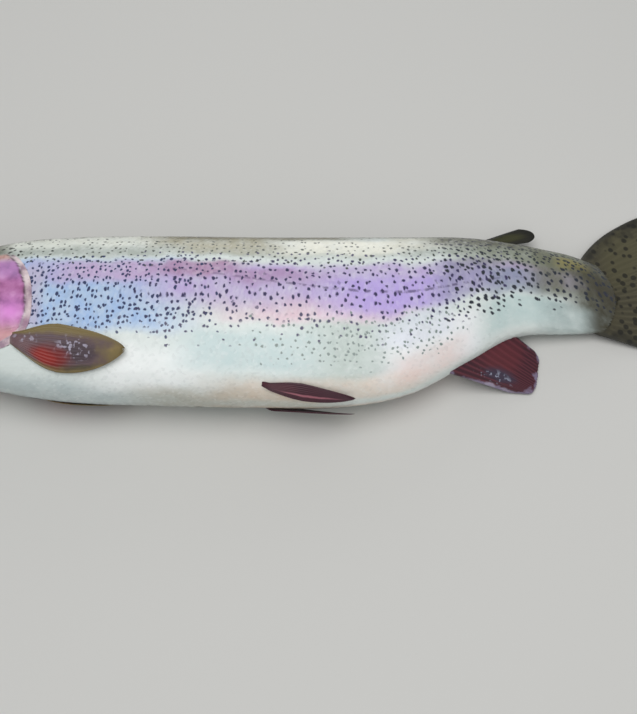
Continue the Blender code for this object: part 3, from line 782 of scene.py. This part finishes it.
def scale_sheet(name, lengths):
    """A flat sheet of scales, arrayed from the pair and made into one mesh."""
    sheet = bpy.data.objects.new(name, scale_pair())
    bpy.context.scene.collection.objects.link(sheet)
    for count, step in ((lengths, (1, 0, 0)), (SCALE_LINES, (0, 1, 0))):
        array = sheet.modifiers.new("array", "ARRAY")
        array.count = count
        array.use_relative_offset = False
        array.use_constant_offset = True
        array.constant_offset_displace = step
    graph = bpy.context.evaluated_depsgraph_get()
    arrayed = bpy.data.meshes.new_from_object(sheet.evaluated_get(graph))
    sheet.modifiers.clear()
    sheet.data = arrayed
    return sheet


def read(collection, field, size=1, kind=np.float32):
    values = np.empty(len(collection) * size, dtype=kind)
    collection.foreach_get(field, values)
    return values.reshape(-1, size) if size > 1 else values


scale_tilts = np.random.default_rng(11).normal(0, 1, (3, 2 * SCALE_LENGTHS + 4, 2 * SCALE_LINES + 4))
lengths = SCALE_LENGTHS // SCALE_PIECES

for piece in range(SCALE_PIECES):
    first = piece * lengths
    coat = scale_sheet(f"scales_{piece + 1}", lengths)
    mesh = coat.data
    flat = read(mesh.vertices, "co", 3).astype(float)
    local = [read(mesh.attributes[name].data, "value") for name in SCALE_AXES]
    local = np.stack(local, axis=-1).astype(float)
    root = flat[:, :2] - local
    pick = (np.rint(2 * (root[:, 0] + first)).astype(int), np.rint(2 * root[:, 1]).astype(int))
    lift, roll, length = (table[pick] for table in scale_tilts)
    turn = (root[:, 1] + local[:, 1]) / SCALE_LINES - 0.5
    local_x = local[:, 0] * (1 + SCALE_LENGTH_SPREAD * length)
    place = scale_place(root[:, 0] + first + local_x, turn)
    rear = (local[:, 0] / SCALE_HALF_LENGTH - 1) / 2
    out = SCALE_TILT * rear * (1 + SCALE_TILT_SPREAD * lift) + SCALE_THICKNESS * (flat[:, 2] - 1)
    out = out + SCALE_ROLL * roll * local[:, 1] / SCALE_HALF_WIDTH
    shaped = on_flesh(place, turn, out, SCALE_CLEAR_OF_FLOOR) + fish_shift
    mesh.vertices.foreach_set("co", shaped.astype(np.float32).ravel())
    mesh.flip_normals()
    corner = read(mesh.loops, "vertex_index", kind=np.int32)

    # In the map for baking each scale has a patch of its own, at its place in the flat sheet.
    patch = local * SCALE_PATCH / 2 / (SCALE_HALF_LENGTH, SCALE_HALF_WIDTH)
    spread = np.stack([(root[:, 0] + 0.7) / (lengths + 1), (root[:, 1] + 0.5) / (SCALE_LINES + 0.6)], axis=-1)
    maps = {
        "OFBake": spread + patch,
        "zones": np.stack([place, 2 * folded(turn)], axis=-1),
        "girth": np.stack([place, turn * girth(place)], axis=-1),
    }
    for uv_name, values in maps.items():
        layer = mesh.uv_layers.new(name=uv_name)
        layer.data.foreach_set("uv", values[corner].astype(np.float32).ravel())
    for name in SCALE_AXES:
        mesh.attributes.remove(mesh.attributes[name])
    mesh.update()
    mesh.shade_smooth()
    mesh.materials.append(skin_look)
    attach(coat, "root")

# ---- Eyes -------------------------------------------------------------------------------------------------
# A trout's eye is a flattened ball without lids: a brassy iris, dark along its top, round a black pupil with
# a small notch towards the snout. It is a ball let into its socket, drawn in rings so the pupil stays round.

EYE_RADIUS = 9.4 * MM
EYE_DEPTH = 5.0 * MM
EYE_SUNK = 2.9 * MM
PUPIL_RADIUS = 3.6 * MM
PUPIL_NOTCH = 1.1 * MM
PUPIL_RIM = (0.35 * MM, 0.16 * MM)
IRIS_FLECK = 0.4476 * MM


def outward(place, turn):
    """The direction straight out of the body at a point of its surface."""
    along = on_body(place + MM, turn) - on_body(place - MM, turn)
    around = on_body(place, turn - 0.01) - on_body(place, turn + 0.01)
    out = np.cross(along, around)
    return out / np.linalg.norm(out, axis=-1, keepdims=True), along / np.linalg.norm(along)


# Wet eye under a clear cornea: the iris is lit by brassy guanine flecks and the whole ball has a hard gloss.
eye_look, eye_node = new_material(
    "brassy_iris_under_cornea", {"Roughness": 0.3, "Coat Weight": 1.0, "Coat Roughness": 0.03},
)
eye_map = eye_node("UVMap", uv_map="face_of_eye")
across_eye = eye_node("VectorMath", (eye_map, (0.5, 0.5, 0)), operation="SUBTRACT")
from_pupil = eye_node("VectorMath", (across_eye,), operation="LENGTH")
flecks = eye_node("TexNoise", {"Vector": eye_map, "Scale": 2 * EYE_RADIUS / IRIS_FLECK, "Detail": 4.0})
wobble = eye_node("Math", (flecks, 0.02, -0.01), operation="MULTIPLY_ADD")
radius = eye_node("Math", (from_pupil, wobble), operation="ADD")
iris_rings = (
    # distance from the middle of the pupil as a share of the eye's width, and colour
    (0.0, "#07080a"),
    (0.193, "#07080a"),
    (0.200, "#d2b26a"),
    (0.222, "#b9a67a"),
    (0.30, "#9d9a86"),
    (0.375, "#77705a"),
    (0.41, "#2b2a24"),
    (0.5, "#8a8a84"),
)
rings = eye_node("ValToRGB", (radius,), iris_rings)
height = eye_node("SeparateXYZ", (across_eye,)).outputs[1]
brow = eye_node("MapRange", (height, 0.12, 0.30, 0.0, 0.75), interpolation_type="SMOOTHSTEP")
speckle = eye_node("MapRange", (flecks, 0.52, 0.66, 0.0, 0.6))
paint(eye_look, rings, ((brow, "#2a241b"), (speckle, "#1d1a14")))

for side, turn in (("left", EYE_TURN), ("right", 1 - EYE_TURN)):
    out, tailward = outward(np.array(EYE_PLACE), np.array(turn))
    backward = np.cross(out, tailward)
    backward /= np.linalg.norm(backward)
    backward = backward if backward[1] > 0 else -backward
    tailward = tailward - out * tailward.dot(out)
    centre = on_body(np.array(EYE_PLACE), np.array(turn)) - out * EYE_SUNK + fish_shift
    form = bmesh.new()
    bmesh.ops.create_uvsphere(form, u_segments=64, v_segments=72, radius=1)
    form.verts.index_update()
    ball = np.array([vert.co[:] for vert in form.verts])
    lay_out(form, "face_of_eye", ball[:, :2] * 0.5 + 0.5)
    reach = np.hypot(ball[:, 0], ball[:, 1]) * EYE_RADIUS
    notch = PUPIL_NOTCH * bell(np.arctan2(ball[:, 1], -ball[:, 0]), 0, 0.42)
    rim = bell(reach, PUPIL_RADIUS + notch, PUPIL_RIM[0]) * (ball[:, 2] > 0)
    height = EYE_DEPTH * ball[:, 2] - PUPIL_RIM[1] * rim
    points = (
        centre
        + np.outer(ball[:, 0] * EYE_RADIUS, tailward)
        + np.outer(ball[:, 1] * EYE_RADIUS, backward)
        + np.outer(height, out)
    )
    for vert, point in zip(form.verts, points):
        vert.co = point
    eye = finished(f"eyeball_{side}", form, eye_look)
    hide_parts(f"eye_{side}")

# ---- Fins -------------------------------------------------------------------------------------------------
# Each fin is a wet web of skin on bony rays, which part in two towards the edge. It grows out of the flesh
# thick and thins to its margin. It is a sheet with the rays raised on both of its faces.

RAY_COLUMNS = 10
WEB = 0.42 * MM
RAY_RISE = 0.24 * MM
FIN_REST_HEIGHT = 1.4 * MM
FIN_CLOUDS = 7.143 * MM
FIN_GLINTS = 2.3256 * MM
FIN_SPOT_SPACING = 5.882 * MM


def ray_relief(u, v, rays):
    """1 on a ray and 0 on the web between, for a ray that splits in two beyond the middle of the fin."""
    phase = np.mod(u * rays, 1) - 0.5
    split = 0.24 * rise(v, 0.35, 0.8)
    width = blend(0.20, 0.12, rise(v, 0.3, 0.8))
    return np.maximum(bell(phase, split, width), bell(phase, -split, width))


def fleshy_root(v, root):
    return root * np.exp(-v / 0.14)


def rounded_fan(u, first, last, corner=0.16):
    """The length of the ray at u, with the two outer corners of the fin rounded off."""
    edge = np.clip(1 - np.minimum(u, 1 - u) / corner, 0, 1)
    return blend(first, last, u) * (1 - 0.22 * edge**2.2)


def fin(name, node, look, rays, steps, shape, raggedness=0.03, thickest_ray=1.6, seed=1):
    """A fin from a rule that gives its middle sheet and the direction its thickness takes."""
    form = bmesh.new()
    bmesh.ops.create_grid(form, x_segments=rays * RAY_COLUMNS, y_segments=steps, size=0.5)
    pulled = bmesh.ops.extrude_face_region(form, geom=form.faces[:], use_keep_orig=True)
    top = [part for part in pulled["geom"] if isinstance(part, bmesh.types.BMVert)]
    bmesh.ops.translate(form, vec=(0, 0, 1), verts=top)
    form.verts.index_update()
    flat = np.array([vert.co[:] for vert in form.verts])
    u, v, through = np.clip(flat[:, 0] + 0.5, 0, 1), np.clip(flat[:, 1] + 0.5, 0, 1), np.rint(flat[:, 2])
    ray = ray_relief(u, v, rays)
    ends = np.random.default_rng(seed).normal(0, 1, rays + 2)
    own_end = np.interp(u * rays, np.arange(rays + 2) - 0.5, ends)
    reach = 1 - raggedness * (0.35 * (1 - ray) + 0.35 * np.clip(own_end + 1, 0, 2))
    first_ray = 1 + (thickest_ray - 1) * (1 - rise(u * rays, 0.2, 1.4))
    thick = WEB + RAY_RISE * ray * (1 - 0.55 * v) * first_ray * rise(v, 0.02, 0.22)
    rim = np.minimum(np.minimum(u * rays * 2.5, (1 - u) * rays * 2.5), (1 - v) * 24)
    thick = thick * np.sqrt(np.clip(rim, 0.03, 1))
    points = shape(u, v * blend(1, reach, rise(v, 0.5, 1)), thick, through) + fish_shift
    lay_out(form, "fin", np.stack([u, v], axis=-1))
    to_edge = np.maximum(np.abs(2 * u - 1), v)
    ray_layer = form.verts.layers.float.new("ray")
    rim_layer = form.verts.layers.float.new("rim")
    for vert, point, height, near in zip(form.verts, points, ray, to_edge):
        vert.co = point
        vert[ray_layer] = height
        vert[rim_layer] = near
    made = finished(name, form, look)
    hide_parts(node)


def fin_skin(name, web, ray, rim, rim_width, patches, spot_size=0.0):
    """Thin wet skin in the colours of its web, its rays and its rim. A patch is a soft tint: its colour, its
    place from front to rear and from root to edge, its reach along both, and its strength. A broken one is a
    painted highlight that shows only as scattered wet glints. The size of the spots is a share of their
    spacing."""
    made, node = new_material(
        name, {"Roughness": 0.46, "IOR": 1.36, "Coat Weight": 0.22, "Coat Roughness": 0.12},
    )
    place = node("UVMap", uv_map="fin")
    body = node("TexCoord").outputs["Object"]
    cloud = node("TexNoise", {"Vector": body, "Scale": 1 / FIN_CLOUDS, "Detail": 4.0})
    drift = node("VectorMath", (cloud.outputs["Color"], (0.5, 0.5, 0.5)), operation="SUBTRACT")
    drift = node("VectorMath", (drift, 0.14), operation="SCALE")
    moved = node("VectorMath", (place, drift), operation="ADD")
    wet = node("TexNoise", {"Vector": body, "Scale": 1 / FIN_GLINTS, "Detail": 1.0})
    wet = node("MapRange", (wet, 0.57, 0.66))
    on_ray, to_edge = (node("Attribute", attribute_name=part).outputs["Fac"] for part in ("ray", "rim"))
    layers = [(node("MapRange", (on_ray, 0.0, 1.0, 0.0, 0.6)), ray)]
    for colour, u, v, wide, long, strength, *broken in patches:
        away = node("VectorMath", (moved, (u, v, 0)), operation="SUBTRACT")
        away = node("VectorMath", (away, (1 / wide, 1 / long, 0)), operation="MULTIPLY")
        away = node("VectorMath", (away,), operation="LENGTH")
        mask = node("MapRange", (away, 1.0, 0.35, 0.0, strength), interpolation_type="SMOOTHSTEP")
        # a broken patch is a painted highlight, scattered as wet glints
        if broken:
            mask = node("Math", (mask, wet), operation="MULTIPLY")
        layers.append((mask, colour))
    edge = node("Math", (cloud, 0.5, to_edge), operation="MULTIPLY_ADD")
    edge = node("MapRange", (edge, 1.22 - rim_width, 1.26, 0.0, 0.9), interpolation_type="SMOOTHSTEP")
    layers.append((edge, rim))
    if spot_size:
        cells = node("TexVoronoi", {"Vector": body, "Scale": 1 / FIN_SPOT_SPACING})
        spots = node("MapRange", (cells, spot_size, spot_size + 0.1, 0.8, 0.0))
        layers.append((spots, "#16150f"))
    paint(made, web, layers)
    return made


# The back fin is a dull dark olive, a little lighter in the flesh of its root.
olive_fin = fin_skin(
    "olive_web_on_rays", "#2b2a20", "#3b392b", "#1f1e17", 0.20,
    (("#333124", 0.5, 0.0, 0.6, 0.4, 0.8),), 0.26,
)
# The adipose fin is a lobe of nearly black skin with a greenish painted highlight in its middle.
adipose_look = fin_skin(
    "dark_adipose_flesh", "#1f1e14", "#24241a", "#17170f", 0.20,
    (("#454624", 0.4, 0.5, 0.4, 0.4, 0.6),), 0.26,
)
# The tail's web is the darkest brown olive, ribbed by paler rays and sown with black spots.
tail_fin = fin_skin(
    "dark_olive_tail_web", "#423e2e", "#5b5642", "#24221a", 0.22,
    (("#4a4533", 0.5, 0.0, 0.8, 0.45, 0.9), ("#57533a", 0.2, 0.5, 0.4, 0.4, 0.6)), 0.27,
)
# The anal fin is wine-dark with lighter rays, a slate-blue painted sheen in its middle under painted wet
# glints, and a lavender front edge.
anal_look = fin_skin(
    "maroon_web_on_rays", "#3c1a24", "#6f353f", "#867a93", 0.05,
    (
        ("#6a2b31", 0.62, 0.30, 0.40, 0.45, 0.55),
        # slate-blue painted sheen in the middle
        ("#3a3547", 0.30, 0.50, 0.22, 0.30, 0.85),
        # painted wet glints, as highlights
        ("#9fa3b6", 0.22, 0.48, 0.20, 0.34, 0.80, "broken"),
        ("#b7b0c6", -0.02, 0.78, 0.080, 0.60, 0.70),
    ),
)
# The pelvic fin is a dark maroon leaf with one pink streak along its rays.
pelvic_look = fin_skin(
    "dark_maroon_web_on_rays", "#3c1a27", "#5d2d3b", "#4a2c36", 0.12,
    (("#b4707c", 0.62, 0.55, 0.10, 0.42, 0.75), ("#5a2a35", 0.3, 0.2, 0.4, 0.3, 0.6)),
)
# The pectoral fin turns from brassy olive edges to a slate middle under painted wet glints and a raw red
# rear.
pectoral_look = fin_skin(
    "brown_web_on_rays", "#5e4c54", "#6e5a56", "#7d6d44", 0.28,
    (
        ("#7f6f42", 0.02, 0.45, 0.24, 0.70, 0.90),
        ("#7c5f62", 0.50, 0.14, 0.50, 0.18, 0.70),
        ("#483a42", 0.50, 0.62, 0.34, 0.26, 0.92),
        # painted wet glints, as highlights
        ("#b9b3c6", 0.44, 0.60, 0.34, 0.20, 0.75, "broken"),
        ("#b9b3c6", 0.30, 0.20, 0.26, 0.12, 0.60, "broken"),
        ("#4c4630", 0.92, 0.60, 0.16, 0.30, 0.80),
        ("#7c211d", 0.70, 0.40, 0.40, 0.22, 0.95),
        ("#962a22", 0.70, 0.36, 0.24, 0.13, 0.85),
        ("#a8925a", 0.50, 1.00, 0.60, 0.14, 0.80),
        ("#a89b98", 0.70, 0.00, 0.62, 0.13, 0.85),
    ),
)


def back_fin_shape(start, end, first, last, sweep, lean, root, corner=0.16):
    """A fin on the ridge of the back, whose rays are swept towards the tail and lean over to one side."""
    def shape(u, v, thick, through):
        ray = rounded_fan(u, first, last, corner)
        place = blend(start, end, u) + v * ray * np.cos(sweep)
        high = v * ray * np.sin(sweep) * blend(1, 0.55, u) - 2 * MM * (1 - v)
        off = (thick + fleshy_root(v, root)) * (through - 0.5)
        y = back_line(place) + high * np.cos(lean) + off * np.sin(lean)
        z = backbone_height(place) - high * np.sin(lean) + off * np.cos(lean)
        return np.stack([place, y, z], axis=-1)

    return shape


# The dorsal fin, folded down towards the tail, and the small rayless adipose fin behind it.
fin(
    "dorsal_fin_web", "dorsal_fin", olive_fin, 12, 44,
    back_fin_shape(222 * MM, 282 * MM, 46 * MM, 22 * MM, math.radians(16), math.radians(45), 2 * MM),
)
fin(
    "adipose_fin_flap", "adipose_fin", adipose_look, 3, 30,
    back_fin_shape(
        372 * MM, 388 * MM, 44 * MM, 29 * MM, math.radians(26), math.radians(0), 3 * MM, corner=0.5,
    ),
    raggedness=0.0,
)

ANAL = (350 * MM, 393 * MM)
ANAL_TIPS_BEHIND = (51, 18)
ANAL_TIPS_BELOW = (6, 9)


def anal_shape(u, v, thick, through):
    """From the line of the belly its rays run down and back to a bowed rim that lies on the floor."""
    place = blend(*ANAL, u)
    fan = rounded_fan(u, 1, 1)
    root = np.stack([place, belly_line(place) + 2 * MM, backbone_height(place)], axis=-1)
    tip_x = place + blend(*ANAL_TIPS_BEHIND, u) * MM * fan
    tip_y = root[:, 1] + (-ANAL_TIPS_BELOW[0] - ANAL_TIPS_BELOW[1] * np.sin(np.pi * u)) * MM * fan
    tip = np.stack([tip_x, tip_y, np.full_like(u, FIN_REST_HEIGHT)], axis=-1)
    point = root + (tip - root) * v[:, None]
    point[:, 2] += (thick + fleshy_root(v, 2 * MM)) * (through - 0.5)
    return point


fin("anal_fin_web", "anal_fin", anal_look, 11, 44, anal_shape, seed=3)

CAUDAL_ROOT = 447 * MM
CAUDAL_RAYS = 19
CAUDAL_LENGTHS = (44 * MM, 76 * MM)
CAUDAL_SPREAD = (math.radians(62), math.radians(-16))
CAUDAL_BEND = math.radians(23)


def caudal_shape(u, v, thick, through):
    """Its rays fan out from the end of the flesh, longest at both tips, and come down to the floor. Those of
    its upper half bend back as they go."""
    edge = np.abs(2 * u - 1)
    ray = blend(*CAUDAL_LENGTHS, edge**1.6) * (1 - 0.08 * edge**14)
    angle = blend(*CAUDAL_SPREAD, u)
    angle = angle - CAUDAL_BEND * v * np.clip(1 - 2 * u, 0, 1)
    start = CAUDAL_ROOT - 7 * MM * edge**5
    x = start + v * ray * np.cos(angle)
    y = blend(back_line(start) - 2 * MM, belly_line(start) + 2 * MM, u) + v * ray * np.sin(angle)
    z = blend(backbone_height(start), FIN_REST_HEIGHT, np.clip(1.6 * v, 0, 1) ** 0.8)
    thick = thick + fleshy_root(v, blend(8, 2, edge**4) * MM)
    return np.stack([x, y, np.maximum(z, thick / 2 + 0.5 * MM) + thick * (through - 0.5)], axis=-1)


fin("caudal_fin_web", "caudal_fin", tail_fin, CAUDAL_RAYS, 60, caudal_shape, 0.035, 1.5, 5)


LEAF_WIDEST = 0.45


def leaf_breadth(v, root, widest):
    """Half the breadth of a leaf that is widest before its middle and rounded at its tip."""
    behind = np.clip(v - LEAF_WIDEST, 0, 1 - LEAF_WIDEST) / (1 - LEAF_WIDEST)
    narrow = widest * np.clip(1 - behind**1.8, 0, 1) ** 0.75 + 0.002 * (1 - v)
    return np.where(v < LEAF_WIDEST, blend(root, widest, rise(v, 0, LEAF_WIDEST)), narrow)


def paired_shape(side, root, turns, breadths, bow, stand):
    """A fin laid back along the body: a leaf between two turns, standing a little off the flank."""
    def shape(u, v, thick, through):
        place = blend(*root, v)
        turn = blend(*turns, v) + bow * np.sin(np.pi * v) + leaf_breadth(v, *breadths) * (2 * u - 1)
        lift = blend(-2.5 * MM, stand[0], np.clip(v / 0.14, 0, 1)) + (stand[1] - stand[0]) * v * v
        out = lift + (thick + fleshy_root(v, 0.7 * MM)) * through
        return on_body(place, turn if side == "left" else 1 - turn, out, 0.3 * MM)

    return shape


for side in ("left", "right"):
    close = side == "right"
    fin(
        f"pectoral_fin_web_{side}", f"pectoral_fin_{side}", pectoral_look, 13, 48,
        paired_shape(
            side, (92 * MM, 166 * MM), (0.335 + 0.025 * close, 0.350 + 0.03 * close), (0.008, 0.049),
            0.015, (1.0 * MM, (1.6 if close else 4.5) * MM),
        ),
        seed=7,
    )
    fin(
        f"pelvic_fin_web_{side}", f"pelvic_fin_{side}", pelvic_look, 10, 40,
        paired_shape(
            side, (239 * MM, 296 * MM), (0.424, 0.462 - 0.01 * close), (0.006, 0.026),
            0.004, (1.0 * MM, (4.5 if close else 3.5) * MM),
        ),
        seed=9,
    )

# ---- Floor, light and camera ------------------------------------------------------------------------------
# A plain pale studio floor under three soft lamps: a large one overhead, one behind the back of the fish and
# a weaker one in front of its belly. The camera stands over the belly and looks steeply down.

FLOOR_SIZE = 3.0

# Matt paper, which takes the fish's soft shadow and gives back a little light from below.
floor_look = new_material("pale_matt_studio_paper", {"Base Color": linear("#d2d1cd"), "Roughness": 0.85})[0]
form = bmesh.new()
bmesh.ops.create_grid(form, x_segments=1, y_segments=1, size=FLOOR_SIZE / 2)
floor_mesh = bpy.data.meshes.new("floor")
form.to_mesh(floor_mesh)
form.free()
floor_mesh.materials.append(floor_look)
floor = bpy.data.objects.new("floor", floor_mesh)
bpy.context.scene.collection.objects.link(floor)

for name, power, size, place in (
    ("soft_key", 9.3, 1.3, (0.0, -0.15, 1.25)),
    ("soft_back", 3.0, 1.0, (0.0, 1.30, 0.40)),
    ("soft_fill", 2.2, 1.1, (0.3, -1.1, 0.9)),
):
    lamp = bpy.data.lights.new(name, "AREA")
    lamp.energy = power
    lamp.shape = "DISK"
    lamp.size = size
    lamp_object = bpy.data.objects.new(name, lamp)
    lamp_object.location = place
    lamp_object.rotation_euler = (Vector() - Vector(place)).to_track_quat("-Z", "Y").to_euler()
    bpy.context.scene.collection.objects.link(lamp_object)

world = bpy.data.worlds.new("studio")
world.use_nodes = True
sky = world.node_tree.nodes["Background"]
sky.inputs["Color"].default_value = linear("#eef1f4")
sky.inputs["Strength"].default_value = 0.36
bpy.context.scene.world = world
bpy.context.scene.view_settings.view_transform = "Standard"

CAMERA_AIM = np.array([274.7, -41.3, 20.0]) * MM
CAMERA_DISTANCE = 0.75
CAMERA_ELEVATION = math.radians(58.6)
CAMERA_LENS = 63.7
aim = Vector(CAMERA_AIM + fish_shift)
camera_data = bpy.data.cameras.new("camera")
camera_data.lens = CAMERA_LENS
camera = bpy.data.objects.new("camera", camera_data)
back_off = Vector((0, -math.cos(CAMERA_ELEVATION), math.sin(CAMERA_ELEVATION)))
camera.location = aim + back_off * CAMERA_DISTANCE
camera.rotation_euler = (math.pi / 2 - CAMERA_ELEVATION, 0, 0)
bpy.context.scene.collection.objects.link(camera)
bpy.context.scene.camera = camera
